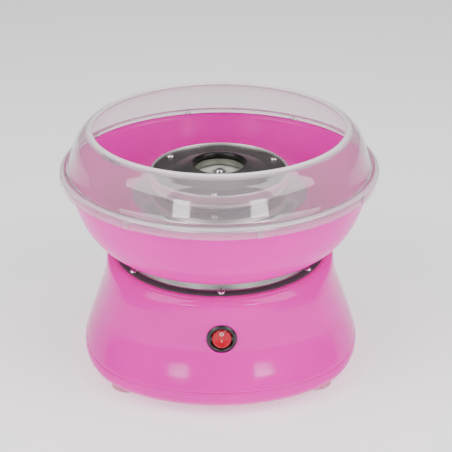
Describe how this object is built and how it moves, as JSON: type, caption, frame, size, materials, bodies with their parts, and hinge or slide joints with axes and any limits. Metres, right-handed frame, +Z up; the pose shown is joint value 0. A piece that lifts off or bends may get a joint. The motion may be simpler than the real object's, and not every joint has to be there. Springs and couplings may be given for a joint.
{
  "type": "cotton candy machine",
  "caption": "Tabletop cotton candy machine: flared base with rocker switch, steel plate, heater drum, spinning sugar head, bowl and clear splash guard.",
  "frame": {"origin": "on the ground plane, on the spindle axis, under the middle of the base", "axes": "+Z up along the spindle, -Y towards the switch, +X to the right seen from the switch side"},
  "size_m": [0.261, 0.261, 0.207],
  "materials": {
    "pink_shell": "glossy injection-moulded hot pink plastic",
    "pink_bowl": "glossy injection-moulded hot pink plastic",
    "foot_rubber": "soft translucent pink suction rubber",
    "screw_steel": "nickel-plated pan-head screws",
    "plate_steel": "spun stainless steel",
    "drum_steel": "polished stainless steel",
    "ceramic": "off-white ceramic",
    "mica": "pressed mica",
    "reflector": "bright aluminium sheet",
    "heater_tube": "oxidised heater sheath",
    "black_plastic": "black moulded plastic",
    "fuse_metal": "tinned metal case",
    "motor_steel": "zinc-plated motor can",
    "magnet": "ferrite",
    "bronze": "sintered bronze",
    "carbon": "carbon",
    "spring_brass": "brass",
    "bracket_steel": "zinc-plated sheet steel",
    "black_rubber": "soft black rubber",
    "shaft_steel": "ground steel",
    "copper": "copper and lacquered wire",
    "fan_plastic": "white moulded plastic",
    "head_alloy": "satin cast aluminium",
    "head_top": "dark satin aluminium",
    "guard_clear": "clear moulded plastic, slightly milky",
    "rocker_red": "translucent red plastic",
    "board_green": "glass-epoxy board",
    "parts_dark": "moulded electronic parts",
    "block_white": "white thermoplastic",
    "wire_cover": "silicone wire covers"
  },
  "bodies": {
    "root": {"base_housing": "pink_shell", "bottom_cover": "pink_shell", "foot_front_left": "foot_rubber", "foot_front_right": "foot_rubber", "foot_rear_left": "foot_rubber", "foot_rear_right": "foot_rubber", "cover_screws": "screw_steel", "top_plate": "plate_steel", "plate_screws": "screw_steel", "heater_drum": "drum_steel", "drum_screws": "screw_steel", "ceramic_posts": "ceramic", "mica_disc": "mica", "heat_reflector": "reflector", "heater_ring": "heater_tube", "thermal_cutoff": "black_plastic", "thermal_fuse": "fuse_metal", "motor_can": "motor_steel", "motor_end_cap": "black_plastic", "motor_magnets": "magnet", "upper_bearing": "bronze", "lower_bearing": "bronze", "brushes": "carbon", "brush_springs": "spring_brass", "motor_bracket": "bracket_steel", "motor_screws": "screw_steel", "rubber_mounts": "black_rubber", "bracket_screws": "screw_steel", "shaft_sleeve": "ceramic", "switch_body": "black_plastic", "switch_terminals": "spring_brass", "rectifier_board": "board_green", "board_parts": "parts_dark", "board_screws": "screw_steel", "terminal_block": "block_white", "terminal_screws": "screw_steel", "inner_wires": "wire_cover", "wire_grommet": "black_rubber", "cord_gland": "black_plastic", "gland_nut": "black_plastic"},
    "spinner": {"spindle": "shaft_steel", "armature": "copper", "commutator": "copper", "cooling_fan": "fan_plastic", "drive_pin": "shaft_steel", "head_hub": "head_alloy", "head_dish": "head_alloy", "slot_band": "head_alloy", "head_cover": "head_top", "head_screws": "screw_steel", "head_nuts": "screw_steel", "centre_screw": "screw_steel"},
    "bowl_body": {"bowl": "pink_bowl"},
    "guard_body": {"guard": "guard_clear"},
    "rocker_body": {"switch_rocker": "rocker_red", "rocker_pin": "shaft_steel"}
  },
  "joints": [
    {"name": "spindle_spin", "type": "hinge", "parent": "root", "child": "spinner", "pos_m": [0, 0, 0.1], "axis": [0, 0, 1], "continuous": true},
    {"name": "switch_rock", "type": "hinge", "parent": "root", "child": "rocker_body", "pos_m": [0, -0.0974, 0.0644], "axis": [1, 0, 0], "range_deg": [0, 18]},
    {"name": "bowl_lift", "type": "slide", "parent": "root", "child": "bowl_body", "axis": [0, 0, 1], "range_m": [0, 0.08]},
    {"name": "guard_lift", "type": "slide", "parent": "bowl_body", "child": "guard_body", "axis": [0, 0, 1], "range_m": [0, 0.06]}
  ]
}
